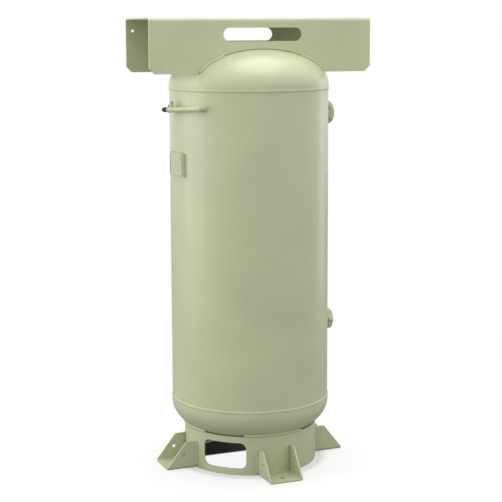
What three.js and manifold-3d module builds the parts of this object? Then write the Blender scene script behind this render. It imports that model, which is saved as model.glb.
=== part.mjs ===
// A vertical air receiver: a rolled and welded steel shell with two dished heads, standing on a ring
// with four bent feet, with an open channel platform on top that carries a compressor pump and its
// motor. Millimetres, +Z up, origin on the floor on the tank's axis. The front is -Y, and the two big
// ports are on +X. Angles around the tank are in degrees from the front, positive towards +X.

import * as THREE from "three";
import { mergeVertices } from "three/addons/utils/BufferGeometryUtils.js";
import Module from "manifold-3d";

const wasm = await Module();
wasm.setup();

// ---------------------------------------------------------------- driving dimensions

const GAP = 0.3; // kept between pieces that touch
const ROUND = 48; // sides of every large round piece

const TANK_RADIUS = 254; // 20 in outside diameter
const SHELL_WALL = 4;
const HEAD_WALL = 4.5;
const BOTTOM_SEAM_Z = 214;
const TOP_SEAM_Z = 1210;
const HEAD_FLANGE = 14; // straight part of a head, outside the seam
const HEAD_DEPTH = TANK_RADIUS / 2; // a 2:1 ellipse
const JOGGLE = 16; // how far a head's necked rim reaches into the shell
const SEAM_BEAD_HALF = 6;
const SEAM_BEAD_RISE = 2.2;
const LONG_SEAM_TURN = 22.5; // degrees anticlockwise from the back, on a corner of the round pieces

const RING_RADIUS = 214.6;
const RING_WALL = 5;
const WINDOW_LOW_Z = 21.4;
const WINDOW_HIGH_Z = 105;
const WINDOW_WIDTH = 145;
const WINDOW_CORNER = 20;
const WINDOW_ANGLES = [-45, 135]; // one at the front left, and one opposite it

const FOOT_SHEET = 5;
const FOOT_WIDTH = 112;
const FOOT_REACH = 306; // from the tank's axis
const FOOT_HEIGHT = 87;
const FOOT_FLAT_END = 243; // where a gusset's level top ends and its slope begins
const FOOT_BEND = 9;
const FOOT_START = 150; // where the blank begins, inside the ring, before it is cut to the ring's curve
const ANCHOR_HOLE_RADIUS = 7;
const ANCHOR_HOLE_OUT = 270;
const GUSSET_HOLE_RADIUS = 5.5;
const GUSSET_HOLE_OUT = 249;
const GUSSET_HOLE_UP = 45;

const PLATFORM_LENGTH = 740;
const PLATFORM_HALF_DEPTH = 120.5;
const PLATFORM_TOP_Z = 1434;
const PLATFORM_LOW_Z = 1264;
const PLATFORM_SHEET = 5;
const PLATFORM_BEND = 12;
const PLATFORM_CHAMFER = 18;
const SADDLE_GAP = 2; // between a flange's curved cut and the top head
const GRIP_LENGTH = 261;
const GRIP_HEIGHT = 41.6;
const GRIP_Z = 1382.2;
const GUARD_HOLE_RADIUS = 4.5; // for a belt guard, at each end of the rear flange
const GUARD_HOLE_X = 348;
const GUARD_HOLE_Z = 1394;
const PUMP_X = -190;
const PUMP_PITCH_X = 150;
const PUMP_PITCH_Y = 140;
const PUMP_HOLE_RADIUS = 6.5;
const MOTOR_X = 190;
const MOTOR_PITCH_X = 130;
const MOTOR_PITCH_Y = 140;
const MOTOR_SLOT_LENGTH = 60;
const MOTOR_SLOT_WIDTH = 11;

const UPPER_PORT_Z = 1127.5;
const LOWER_PORT_Z = 441;
const COUPLING_RADIUS = 38.1; // a 2 in half coupling
const COUPLING_BORE = 28.6;
const COUPLING_FACE_X = 267;
const COUPLING_BACK_X = 240;
const PLUG_ACROSS_FLATS = 63.5;
const PLUG_HEAD = 20;

const BRACKET_ANGLE = -83.5;
const BRACKET_Z = 981;
const BRACKET_WIDTH = 96;
const BRACKET_HEIGHT = 72;
const BRACKET_FACE = 256.5; // from the tank's axis to the back of the bracket's face
const BRACKET_SHEET = 2;
const BRACKET_LEG = 24;
const PLATE_INSET = 2; // from the bracket's edges to the data plate's
const PLATE_SHEET = 1.2;
const PLATE_CORNER = 4;
const RIVET_INSET = 8;
const RIVET_HEAD_RADIUS = 3;
const RIVET_SHANK_RADIUS = 1.4;
const RIVET_HOLE_RADIUS = 1.8;

const MANIFOLD_ANGLE = -68.3; // the pipe runs square to this direction
const MANIFOLD_DISTANCE = 266; // from the tank's axis to the middle of the pipe
const MANIFOLD_Z = 1156;
const MANIFOLD_FALL = 3; // degrees, down towards the capped end
const PIPE_RADIUS = 8.6; // a 3/8 in pipe
const PIPE_BORE = 6.2;
const PIPE_FROM = -58; // the pipe's ends, from the middle of the manifold
const PIPE_TO = 52;
const FITTING_RADIUS = 10.4;
const STUB_RADIUS = 9;
const ELBOW_AT = 64; // where the elbow's stub meets the shell, along the pipe
const TEE_AT = -68;
const TEE_FROM = -83;
const FLOW_HOLE_RADIUS = 5;
const TOP_PORT_RADIUS = 6.6;
const TOP_PORT_HEIGHT = 19;
const TOP_PORT_BORE = 4;
const TOP_PLUG_ACROSS_FLATS = 11;
const VENT_RADIUS = 2.5;
const VENT_HEAD_RADIUS = 3.4;
const VENT_OFFSET = -10.5; // from the tee's middle towards its open end
const END_CAP_RADIUS = 7.5;
const END_CAP_LENGTH = 24;

const DRAIN_COUPLING_RADIUS = 15;
const DRAIN_COUPLING_LOW_Z = 57;
const DRAIN_COUPLING_HIGH_Z = 84;
const DRAIN_BORE = 10.5;
const DRAIN_FLOW = 3.5;
const COCK_ACROSS_FLATS = 22;
const COCK_SHOULDER_Z = DRAIN_COUPLING_LOW_Z - GAP;
const BARREL_RADIUS = 11;
const BARREL_HALF = 12;
const NOZZLE_RADIUS = 6;
const NOZZLE_LOW_Z = 12;
const KEY_Z = 40;
const KEY_RADIUS = 6;
const KEY_CLEARANCE = 0.3;
const KEY_STUD_RADIUS = 4;
const LEVER_LENGTH = 40;
const LEVER_WIDTH = 9;
const LEVER_SHEET = 3.5;
const LEVER_MIDDLE = 14; // from the key's axis to the middle of the lever
const NUT_ACROSS_FLATS = 13;

// ---------------------------------------------------------------- materials

const finish = (color, roughness, metalness = 0) =>
  new THREE.MeshStandardMaterial({ color, roughness, metalness });
const PAINT = finish(0xb4ba97, 0.42);
const WELD_PAINT = finish(0xb9bf9c, 0.48);
const BLACK_PLASTIC = finish(0x15150f, 0.5);
const BRASS = finish(0xb08d4a, 0.35, 0.9);

// ---------------------------------------------------------------- solids

const radians = THREE.MathUtils.degToRad;
const vec = (x, y, z) => new THREE.Vector3(x, y, z);

// A closed geometry as a solid that can be joined and cut.
function solid(geometry) {
  const bare = geometry.clone();
  bare.deleteAttribute("normal");
  bare.deleteAttribute("uv");
  const merged = mergeVertices(bare, 1e-4);
  return new wasm.Manifold(
    new wasm.Mesh({
      numProp: 3,
      vertProperties: merged.attributes.position.array,
      triVerts: new Uint32Array(merged.index.array),
    }),
  );
}

// A solid back as a geometry.
function geometryOf(made) {
  const mesh = made.getMesh();
  const geometry = new THREE.BufferGeometry();
  geometry.setAttribute("position", new THREE.BufferAttribute(mesh.vertProperties, 3));
  geometry.setIndex(new THREE.BufferAttribute(mesh.triVerts, 1));
  geometry.computeVertexNormals();
  return geometry;
}

// A profile of [radius, z] points turned about the Z axis. It starts and ends on the axis, or closes
// on itself, and may be given in either direction.
function revolve(profile, sides = ROUND) {
  const area = profile.reduce((sum, [r, z], i) => {
    const [nextR, nextZ] = profile[(i + 1) % profile.length];
    return sum + r * nextZ - nextR * z;
  }, 0);
  const forward = area > 0 ? profile : [...profile].reverse();
  const onAxis = forward[0][0] === 0 && forward[forward.length - 1][0] === 0;
  const points = onAxis ? forward : [...forward, forward[0]];
  const lathe = new THREE.LatheGeometry(
    points.map(([r, z]) => new THREE.Vector2(r, z)),
    sides,
  );
  return solid(lathe.rotateX(Math.PI / 2));
}

// An outline extruded by depth along Z, from z = 0.
function extrude(shape, depth, curveSegments = 6) {
  const options = { depth, bevelEnabled: false, curveSegments };
  return solid(new THREE.ExtrudeGeometry(shape, options));
}

// A polygon's shape from [x, y] points.
const polygon = (points) => new THREE.Shape(points.map(([x, y]) => new THREE.Vector2(x, y)));

// A rectangle with round corners, centred on the origin.
function roundedRectangle(width, height, corner) {
  const x = width / 2;
  const y = height / 2;
  const shape = new THREE.Shape();
  shape.moveTo(-x + corner, -y);
  shape.lineTo(x - corner, -y);
  shape.absarc(x - corner, -y + corner, corner, -Math.PI / 2, 0);
  shape.lineTo(x, y - corner);
  shape.absarc(x - corner, y - corner, corner, 0, Math.PI / 2);
  shape.lineTo(-x + corner, y);
  shape.absarc(-x + corner, y - corner, corner, Math.PI / 2, Math.PI);
  shape.lineTo(-x, -y + corner);
  shape.absarc(-x + corner, -y + corner, corner, Math.PI, Math.PI * 1.5);
  return shape;
}

// A solid moved by a matrix.
function moved(made, matrix) {
  return solid(geometryOf(made).applyMatrix4(matrix));
}

// The frame of a place on the tank: local X is level and runs to the right as seen from outside,
// local Y is up, and local Z points away from the tank's axis.
function facing(angle, radius = 0, z = 0) {
  const turn = radians(angle);
  const out = vec(Math.sin(turn), -Math.cos(turn), 0);
  const across = vec(Math.cos(turn), Math.sin(turn), 0);
  return new THREE.Matrix4()
    .makeBasis(across, vec(0, 0, 1), out)
    .setPosition(out.clone().multiplyScalar(radius).setZ(z));
}

// A round bar along local Z, between two distances.
function bar(radius, from, to, sides = 24) {
  const rod = new THREE.CylinderGeometry(radius, radius, to - from, sides);
  return solid(rod.rotateX(Math.PI / 2).translate(0, 0, (from + to) / 2));
}

// A hexagonal bar along local Z; pointUp puts a corner on local +Y.
function hexBar(acrossFlats, from, to, pointUp = true) {
  const corner = acrossFlats / Math.sqrt(3);
  const rod = new THREE.CylinderGeometry(corner, corner, to - from, 6);
  rod.rotateX(Math.PI / 2);
  if (!pointUp) rod.rotateZ(Math.PI / 6);
  return solid(rod.translate(0, 0, (from + to) / 2));
}

const box = (x, y, z) => solid(new THREE.BoxGeometry(x, y, z));
const shifted = (made, x, y, z) => moved(made, new THREE.Matrix4().makeTranslation(x, y, z));

// ---------------------------------------------------------------- the pressure vessel

// Points of a quarter ellipse from its rim (angle 0) to its crown on the axis.
function quarterEllipse(radius, depth, steps = 7) {
  return Array.from({ length: steps + 1 }, (_, i) => {
    const turn = (Math.PI / 2) * (i / steps);
    return [i === steps ? 0 : radius * Math.cos(turn), depth * Math.sin(turn)];
  });
}

// A dished head, crown up, with its seam at z = 0: an ellipse on a straight flange, and a rim necked
// in to sit inside the shell.
function dishedHead() {
  const neckOut = TANK_RADIUS - SHELL_WALL - GAP;
  const neckIn = neckOut - HEAD_WALL;
  const outer = quarterEllipse(TANK_RADIUS, HEAD_DEPTH).map(([r, z]) => [r, z + HEAD_FLANGE]);
  const inner = quarterEllipse(TANK_RADIUS - HEAD_WALL, HEAD_DEPTH - HEAD_WALL)
    .map(([r, z]) => [r, z + HEAD_FLANGE])
    .reverse();
  const rim = [
    [neckIn, HEAD_WALL],
    [neckIn, -JOGGLE],
    [neckOut, -JOGGLE],
    [neckOut, GAP],
    [TANK_RADIUS, GAP],
  ];
  return revolve([...inner, ...rim, ...outer]);
}

// The space that a head fills, grown by a margin, as a cutting tool.
function headEnvelope(margin) {
  const dome = quarterEllipse(TANK_RADIUS + margin, HEAD_DEPTH + margin);
  return revolve([[0, 0], [TANK_RADIUS + margin, 0], ...dome.map(([r, z]) => [r, z + HEAD_FLANGE])]);
}

const upAt = (z) => new THREE.Matrix4().makeTranslation(0, 0, z);
const downAt = (z) => upAt(z).multiply(new THREE.Matrix4().makeRotationX(Math.PI));

function shell() {
  const inner = TANK_RADIUS - SHELL_WALL;
  const wall = revolve([
    [inner, BOTTOM_SEAM_Z],
    [TANK_RADIUS, BOTTOM_SEAM_Z],
    [TANK_RADIUS, TOP_SEAM_Z],
    [inner, TOP_SEAM_Z],
  ]);
  const portHoles = [UPPER_PORT_Z, LOWER_PORT_Z]
    .map((z) => moved(bar(COUPLING_RADIUS + GAP, 220, 290), facing(90, 0, z)));
  const flowHoles = [ELBOW_AT, TEE_AT]
    .map((along) => moved(bar(FLOW_HOLE_RADIUS, -40, 5, 12), stubFrame(along)));
  return [...portHoles, ...flowHoles].reduce((left, hole) => left.subtract(hole), wall);
}

const topHead = () => moved(dishedHead(), upAt(TOP_SEAM_Z));

function bottomHead() {
  const drainHole = bar(DRAIN_COUPLING_RADIUS + GAP, 40, 120);
  return moved(dishedHead(), downAt(BOTTOM_SEAM_Z)).subtract(drainHole);
}

// The weld bead around a seam.
function girthWeld(seamZ) {
  const inner = TANK_RADIUS + GAP;
  return revolve([
    [inner, seamZ - SEAM_BEAD_HALF],
    [inner + SEAM_BEAD_RISE, seamZ - SEAM_BEAD_HALF / 2],
    [inner + SEAM_BEAD_RISE, seamZ + SEAM_BEAD_HALF / 2],
    [inner, seamZ + SEAM_BEAD_HALF],
  ]);
}

// The upright bead of the shell's own seam, at the back.
function longSeamWeld() {
  const low = BOTTOM_SEAM_Z + SEAM_BEAD_HALF + GAP;
  const high = TOP_SEAM_Z - SEAM_BEAD_HALF - GAP;
  const section = [[-5, 0], [5, 0], [2.5, 2], [-2.5, 2]];
  const bead = extrude(polygon(section), high - low);
  // The section's +Y is outward here, so the bead is turned to stand upright at the back.
  const upright = new THREE.Matrix4().makeTranslation(0, TANK_RADIUS + GAP, low);
  return moved(bead, new THREE.Matrix4().makeRotationZ(radians(LONG_SEAM_TURN)).multiply(upright));
}

// ---------------------------------------------------------------- the base ring and its feet

function baseRing() {
  const inner = RING_RADIUS - RING_WALL;
  // The ring's top edge meets the head where the head is RING_RADIUS - RING_WALL from the axis.
  const drop = HEAD_DEPTH * Math.sqrt(1 - (inner / TANK_RADIUS) ** 2);
  const top = BOTTOM_SEAM_Z - HEAD_FLANGE - drop - 2 * GAP;
  const ring = revolve([[inner, 0], [RING_RADIUS, 0], [RING_RADIUS, top], [inner, top]]);
  const opening = roundedRectangle(WINDOW_WIDTH, WINDOW_HIGH_Z - WINDOW_LOW_Z, WINDOW_CORNER);
  const middle = (WINDOW_HIGH_Z + WINDOW_LOW_Z) / 2;
  return WINDOW_ANGLES.reduce(
    (left, angle) => left.subtract(moved(extrude(opening, 90), facing(angle, 160, middle))),
    ring,
  );
}

// A foot bent from one sheet: a base and two sloping gussets. It is made with local X across, local Y
// up and local Z outward, and cut to the ring's curve.
function foot(angle) {
  const half = FOOT_WIDTH / 2;
  const inner = half - FOOT_SHEET;
  const innerBend = FOOT_BEND - FOOT_SHEET;
  const channel = new THREE.Shape();
  channel.moveTo(-half, FOOT_HEIGHT);
  channel.lineTo(-half, FOOT_BEND);
  channel.absarc(-half + FOOT_BEND, FOOT_BEND, FOOT_BEND, Math.PI, Math.PI * 1.5);
  channel.lineTo(half - FOOT_BEND, 0);
  channel.absarc(half - FOOT_BEND, FOOT_BEND, FOOT_BEND, -Math.PI / 2, 0);
  channel.lineTo(half, FOOT_HEIGHT);
  channel.lineTo(inner, FOOT_HEIGHT);
  channel.absarc(inner - innerBend, FOOT_BEND, innerBend, 0, -Math.PI / 2, true);
  channel.absarc(-inner + innerBend, FOOT_BEND, innerBend, -Math.PI / 2, -Math.PI, true);
  channel.lineTo(-inner, FOOT_HEIGHT);

  const blank = shifted(extrude(channel, FOOT_REACH - FOOT_START), 0, 0, FOOT_START);

  // The gussets' side outline, as [outward, up] points.
  const side = polygon([
    [FOOT_START - 1, -1],
    [FOOT_REACH + 1, -1],
    [FOOT_REACH + 1, FOOT_SHEET + 2],
    [FOOT_FLAT_END, FOOT_HEIGHT],
    [FOOT_START - 1, FOOT_HEIGHT],
  ]);
  const sideways = new THREE.Matrix4().makeBasis(vec(0, 0, 1), vec(0, 1, 0), vec(-1, 0, 0));
  const outline = moved(extrude(side, 2 * FOOT_WIDTH), sideways.setPosition(FOOT_WIDTH, 0, 0));
  const gussetBar = bar(GUSSET_HOLE_RADIUS, -FOOT_WIDTH, FOOT_WIDTH, 16);
  const throughGussets = moved(gussetBar, new THREE.Matrix4().makeRotationY(Math.PI / 2));
  const anchorBar = bar(ANCHOR_HOLE_RADIUS, -20, 20, 20);
  const throughBase = moved(anchorBar, new THREE.Matrix4().makeRotationX(Math.PI / 2));
  const placed = blank
    .intersect(outline)
    .subtract(shifted(throughGussets, 0, GUSSET_HOLE_UP, GUSSET_HOLE_OUT))
    .subtract(shifted(throughBase, 0, 0, ANCHOR_HOLE_OUT));
  const ringSpace = revolve([
    [0, -1],
    [RING_RADIUS + GAP, -1],
    [RING_RADIUS + GAP, FOOT_HEIGHT + 1],
    [0, FOOT_HEIGHT + 1],
  ]);
  return moved(placed, facing(angle)).subtract(ringSpace);
}

// ---------------------------------------------------------------- the platform

// The channel's section lies in the YZ plane and runs along X.
function channelSection() {
  const half = PLATFORM_HALF_DEPTH;
  const inner = half - PLATFORM_SHEET;
  const innerBend = PLATFORM_BEND - PLATFORM_SHEET;
  const bendZ = PLATFORM_TOP_Z - PLATFORM_BEND;
  const section = new THREE.Shape();
  section.moveTo(-half, PLATFORM_LOW_Z);
  section.lineTo(-inner, PLATFORM_LOW_Z);
  section.absarc(-inner + innerBend, bendZ, innerBend, Math.PI, Math.PI / 2, true);
  section.absarc(inner - innerBend, bendZ, innerBend, Math.PI / 2, 0, true);
  section.lineTo(inner, PLATFORM_LOW_Z);
  section.lineTo(half, PLATFORM_LOW_Z);
  section.absarc(half - PLATFORM_BEND, bendZ, PLATFORM_BEND, 0, Math.PI / 2);
  section.absarc(-half + PLATFORM_BEND, bendZ, PLATFORM_BEND, Math.PI / 2, Math.PI);
  return section;
}

// The flanges' outline seen from the front, with its lower corners cut off.
function flangeOutline() {
  const x = PLATFORM_LENGTH / 2;
  const low = PLATFORM_LOW_Z - 1;
  const cut = PLATFORM_LOW_Z + PLATFORM_CHAMFER + 1;
  const high = PLATFORM_TOP_Z + 1;
  return polygon([
    [-x - 1, high],
    [-x - 1, cut],
    [-x + PLATFORM_CHAMFER + 1, low],
    [x - PLATFORM_CHAMFER - 1, low],
    [x + 1, cut],
    [x + 1, high],
  ]);
}

// An outline seen from the front, carried through both flanges.
function throughFlanges(outline, z = 0) {
  const depth = 4 * PLATFORM_HALF_DEPTH;
  return moved(extrude(outline, depth), upAt(z).multiply(facing(0, -depth / 2)));
}

// A long hole with round ends, as an outline.
const slotOutline = (length, width) => roundedRectangle(length, width, width / 2 - 0.01);

// The small hole near one end of the rear flange.
function guardHole(end) {
  const drill = bar(GUARD_HOLE_RADIUS, PLATFORM_HALF_DEPTH - 30, PLATFORM_HALF_DEPTH + 30, 12);
  const place = new THREE.Matrix4().makeTranslation(end * GUARD_HOLE_X, 0, 0);
  return moved(drill, place.multiply(facing(180, 0, GUARD_HOLE_Z)));
}

// A round hole for the pump, and a slot for the motor, at one corner of each one's pattern.
function pumpHole(along, sideways) {
  const x = PUMP_X + (along * PUMP_PITCH_X) / 2;
  const y = (sideways * PUMP_PITCH_Y) / 2;
  return shifted(bar(PUMP_HOLE_RADIUS, -30, 30, 16), x, y, PLATFORM_TOP_Z);
}

function motorSlot(along, sideways) {
  const x = MOTOR_X + (along * MOTOR_PITCH_X) / 2;
  const y = (sideways * MOTOR_PITCH_Y) / 2;
  const slot = extrude(slotOutline(MOTOR_SLOT_LENGTH, MOTOR_SLOT_WIDTH), 60);
  return shifted(slot, x, y, PLATFORM_TOP_Z - 30);
}

// A sheet bent into a channel that opens downward and straddles the top head.
function platform() {
  const alongX = new THREE.Matrix4()
    .makeBasis(vec(0, 1, 0), vec(0, 0, 1), vec(1, 0, 0))
    .setPosition(-PLATFORM_LENGTH / 2, 0, 0);
  const blank = moved(extrude(channelSection(), PLATFORM_LENGTH), alongX)
    .intersect(throughFlanges(flangeOutline()))
    .subtract(moved(headEnvelope(SADDLE_GAP), upAt(TOP_SEAM_Z)))
    .subtract(throughFlanges(slotOutline(GRIP_LENGTH, GRIP_HEIGHT), GRIP_Z));
  const ends = [-1, 1];
  const corners = ends.flatMap((along) => ends.map((sideways) => [along, sideways]));
  const holes = [
    ...ends.map((end) => guardHole(end)),
    ...corners.map(([along, sideways]) => pumpHole(along, sideways)),
    ...corners.map(([along, sideways]) => motorSlot(along, sideways)),
  ];
  return holes.reduce((left, hole) => left.subtract(hole), blank);
}

// ---------------------------------------------------------------- ports and plugs

// A half coupling that stands through the shell, pointing to +X.
function coupling(z) {
  const ring = bar(COUPLING_RADIUS, COUPLING_BACK_X, COUPLING_FACE_X, 24);
  const bore = bar(COUPLING_BORE, COUPLING_BACK_X - 5, COUPLING_FACE_X + 5, 24);
  return moved(ring.subtract(bore), facing(90, 0, z));
}

// A hex head pipe plug, screwed into a coupling.
function hexPlug(z, pointUp) {
  const headFrom = COUPLING_FACE_X + GAP;
  const head = hexBar(PLUG_ACROSS_FLATS, headFrom, headFrom + PLUG_HEAD, pointUp);
  const shank = bar(COUPLING_BORE - GAP, COUPLING_BACK_X + 4, headFrom + 2, 24);
  return moved(head.add(shank), facing(90, 0, z));
}

// ---------------------------------------------------------------- the gauge and switch manifold

// The manifold's frame: local X along the pipe towards the elbow, local Y up, local Z outward.
function manifoldFrame() {
  return facing(MANIFOLD_ANGLE, MANIFOLD_DISTANCE, MANIFOLD_Z)
    .multiply(new THREE.Matrix4().makeRotationZ(radians(MANIFOLD_FALL)));
}

// The frame of a stub that joins the manifold to the shell, at a distance along the pipe.
const stubFrame = (along) => manifoldFrame().multiply(new THREE.Matrix4().makeTranslation(along, 0, 0));

// The tank's outside, with the gap that a welded piece keeps to it, as a cutting tool.
const tankSpace = () => revolve([
  [0, BOTTOM_SEAM_Z],
  [TANK_RADIUS + GAP, BOTTOM_SEAM_Z],
  [TANK_RADIUS + GAP, TOP_SEAM_Z],
  [0, TOP_SEAM_Z],
]);

// A round bar along the manifold pipe, between two distances from its middle.
function alongPipe(radius, from, to, sides = 20) {
  const lengthways = new THREE.Matrix4().makeRotationY(Math.PI / 2);
  return moved(bar(radius, from, to, sides), lengthways);
}

function manifoldPipe() {
  const bore = alongPipe(PIPE_BORE, PIPE_FROM - 1, PIPE_TO + 1, 16);
  return moved(alongPipe(PIPE_RADIUS, PIPE_FROM, PIPE_TO).subtract(bore), manifoldFrame());
}

// The elbow that brings the pipe to the shell: a collar on the pipe and a stub with a round end.
function manifoldElbow() {
  const stub = bar(STUB_RADIUS, -30, FITTING_RADIUS - 1, 20);
  const collar = alongPipe(FITTING_RADIUS, PIPE_TO - ELBOW_AT + GAP, 0);
  const flow = bar(FLOW_HOLE_RADIUS, -35, 0, 12);
  const inlet = alongPipe(FLOW_HOLE_RADIUS, -40, 3, 12);
  const made = stub.add(collar).subtract(flow).subtract(inlet);
  return moved(made, stubFrame(ELBOW_AT)).subtract(tankSpace());
}

// Local Z turned to stand up beside the pipe, at a distance along it.
function upright(along = 0) {
  return new THREE.Matrix4().makeRotationX(-Math.PI / 2).setPosition(along, 0, 0);
}

// The tee at the pipe's other end, with a stub to the shell, a port on top and a vent beside it.
function manifoldTee() {
  const collar = alongPipe(FITTING_RADIUS, TEE_FROM - TEE_AT, PIPE_FROM - GAP - TEE_AT);
  const topPort = moved(bar(TOP_PORT_RADIUS, 0, TOP_PORT_HEIGHT, 20), upright());
  const holes = [
    bar(FLOW_HOLE_RADIUS, -35, 0, 12),
    alongPipe(FLOW_HOLE_RADIUS, -40, 40, 12),
    moved(bar(TOP_PORT_BORE, 0, TOP_PORT_HEIGHT + 5, 12), upright()),
    moved(bar(VENT_RADIUS + GAP, 0, 30, 12), upright(VENT_OFFSET)),
  ];
  const body = collar.add(bar(STUB_RADIUS, -30, 0, 20)).add(topPort);
  const made = holes.reduce((left, hole) => left.subtract(hole), body);
  return moved(made, stubFrame(TEE_AT)).subtract(tankSpace());
}

// The black cap on the tee's open end.
function manifoldEndCap() {
  const face = TEE_FROM - GAP;
  const cap = alongPipe(END_CAP_RADIUS, face - END_CAP_LENGTH, face, 16);
  const spigot = alongPipe(FLOW_HOLE_RADIUS - GAP, face - 1, TEE_FROM + 6, 12);
  return moved(cap.add(spigot), manifoldFrame());
}

// The hex plug in the tee's top port, under the paint.
function manifoldTopPlug() {
  const from = TOP_PORT_HEIGHT + GAP;
  const head = hexBar(TOP_PLUG_ACROSS_FLATS, from, from + 6);
  const shank = bar(TOP_PORT_BORE - GAP, from - 9, from + 1, 12);
  return moved(moved(head.add(shank), upright()), stubFrame(TEE_AT));
}

// The small black plug in the tee's vent.
function manifoldVentPlug() {
  const button = bar(VENT_HEAD_RADIUS, FITTING_RADIUS + GAP, FITTING_RADIUS + 4, 12);
  const shank = bar(VENT_RADIUS, FLOW_HOLE_RADIUS + 1, FITTING_RADIUS + 1, 12);
  return moved(moved(button.add(shank), upright(VENT_OFFSET)), stubFrame(TEE_AT));
}

// ---------------------------------------------------------------- the data plate

const plateFrame = () => facing(BRACKET_ANGLE, 0, BRACKET_Z);
const rivetPlaces = [[-1, -1], [1, -1], [1, 1], [-1, 1]].map(([x, y]) => [
  x * (BRACKET_WIDTH / 2 - RIVET_INSET),
  y * (BRACKET_HEIGHT / 2 - RIVET_INSET),
]);

function withRivetHoles(made) {
  const hole = bar(RIVET_HOLE_RADIUS, BRACKET_FACE - 20, BRACKET_FACE + 20, 10);
  return rivetPlaces.reduce((left, [x, y]) => left.subtract(shifted(hole, x, y, 0)), made);
}

// A face with two legs bent back to the shell.
function dataPlateBracket() {
  const outer = BRACKET_FACE + BRACKET_SHEET;
  const face = box(BRACKET_WIDTH, BRACKET_HEIGHT, BRACKET_SHEET);
  const leg = box(BRACKET_SHEET, BRACKET_HEIGHT, BRACKET_LEG);
  const legX = (BRACKET_WIDTH - BRACKET_SHEET) / 2;
  const made = shifted(face, 0, 0, outer - BRACKET_SHEET / 2)
    .add(shifted(leg, -legX, 0, outer - BRACKET_LEG / 2))
    .add(shifted(leg, legX, 0, outer - BRACKET_LEG / 2));
  return moved(withRivetHoles(made), plateFrame()).subtract(tankSpace());
}

function dataPlate() {
  const from = BRACKET_FACE + BRACKET_SHEET + GAP;
  const width = BRACKET_WIDTH - 2 * PLATE_INSET;
  const height = BRACKET_HEIGHT - 2 * PLATE_INSET;
  const outline = roundedRectangle(width, height, PLATE_CORNER);
  const blank = shifted(extrude(outline, PLATE_SHEET, 3), 0, 0, from);
  return moved(withRivetHoles(blank), plateFrame());
}

function rivet([x, y]) {
  const headFrom = BRACKET_FACE + BRACKET_SHEET + PLATE_SHEET + 2 * GAP;
  const shank = bar(RIVET_SHANK_RADIUS, BRACKET_FACE - 1, headFrom + 0.5, 10);
  const head = bar(RIVET_HEAD_RADIUS, headFrom, headFrom + 1.4, 10);
  return moved(shifted(head.add(shank), x, y, 0), plateFrame());
}

// ---------------------------------------------------------------- the drain, under the bottom head

// A piece made along local Z, turned to point to the front and put at the key's height.
const onKeyAxis = (made) => moved(made, upAt(KEY_Z).multiply(new THREE.Matrix4().makeRotationX(Math.PI / 2)));

function drainCoupling() {
  const bore = bar(DRAIN_BORE, DRAIN_COUPLING_LOW_Z - 5, DRAIN_COUPLING_HIGH_Z + 5);
  return bar(DRAIN_COUPLING_RADIUS, DRAIN_COUPLING_LOW_Z, DRAIN_COUPLING_HIGH_Z).subtract(bore);
}

function drainCockBody() {
  const shank = bar(DRAIN_BORE - GAP, COCK_SHOULDER_Z - 1, DRAIN_COUPLING_HIGH_Z - 6);
  const hex = hexBar(COCK_ACROSS_FLATS, KEY_Z + BARREL_RADIUS - 2, COCK_SHOULDER_Z);
  const barrel = onKeyAxis(bar(BARREL_RADIUS, -BARREL_HALF, BARREL_HALF));
  const nozzle = bar(NOZZLE_RADIUS, NOZZLE_LOW_Z, KEY_Z, 16);
  const keyBore = onKeyAxis(bar(KEY_RADIUS + KEY_CLEARANCE, -20, 20));
  const flow = bar(DRAIN_FLOW, 0, DRAIN_COUPLING_HIGH_Z, 12);
  return shank.add(hex).add(barrel).add(nozzle).subtract(keyBore).subtract(flow);
}

// The cock's key with its lever. It is drawn shut: the lever and the hole through the key lie level.
function drainCockKey() {
  const hubFrom = BARREL_HALF + 0.5;
  const leverFrom = BARREL_HALF + 2;
  const key = bar(KEY_RADIUS, -BARREL_HALF - 3, leverFrom);
  const hub = bar(KEY_RADIUS + 2, hubFrom, leverFrom + 4);
  const blade = extrude(roundedRectangle(LEVER_LENGTH, LEVER_WIDTH, 4), LEVER_SHEET);
  const lever = shifted(blade, LEVER_MIDDLE, 0, leverFrom);
  const stud = bar(KEY_STUD_RADIUS, -BARREL_HALF - 10, -BARREL_HALF - 2, 16);
  const across = new THREE.Matrix4().makeRotationY(Math.PI / 2);
  const passage = moved(bar(DRAIN_FLOW - 0.2, -20, 20, 12), across);
  return onKeyAxis(key.add(hub).add(lever).add(stud).subtract(passage));
}

function drainCockNut() {
  const from = -BARREL_HALF - 8.5;
  const to = -BARREL_HALF - 3.3;
  const bore = bar(KEY_STUD_RADIUS + GAP, from - 5, to + 5, 16);
  return onKeyAxis(hexBar(NUT_ACROSS_FLATS, from, to).subtract(bore));
}

// ---------------------------------------------------------------- the assembly

const receiver = new THREE.Group();

function add(name, made, material = PAINT) {
  const mesh = new THREE.Mesh(geometryOf(made), material);
  mesh.name = name;
  receiver.add(mesh);
}

add("shell", shell());
add("top_head", topHead());
add("bottom_head", bottomHead());
add("top_girth_weld", girthWeld(TOP_SEAM_Z), WELD_PAINT);
add("bottom_girth_weld", girthWeld(BOTTOM_SEAM_Z), WELD_PAINT);
add("long_seam_weld", longSeamWeld(), WELD_PAINT);
add("base_ring", baseRing());
add("platform", platform());
for (const [side, angle] of [["front", 0], ["right", 90], ["rear", 180], ["left", 270]]) {
  add("foot_" + side, foot(angle));
}
add("upper_port_coupling", coupling(UPPER_PORT_Z));
add("lower_port_coupling", coupling(LOWER_PORT_Z));
add("upper_port_plug", hexPlug(UPPER_PORT_Z, true));
add("lower_port_plug", hexPlug(LOWER_PORT_Z, false));
add("manifold_elbow", manifoldElbow());
add("manifold_pipe", manifoldPipe());
add("manifold_tee", manifoldTee());
add("manifold_end_cap", manifoldEndCap(), BLACK_PLASTIC);
add("manifold_top_plug", manifoldTopPlug());
add("manifold_vent_plug", manifoldVentPlug(), BLACK_PLASTIC);
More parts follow.
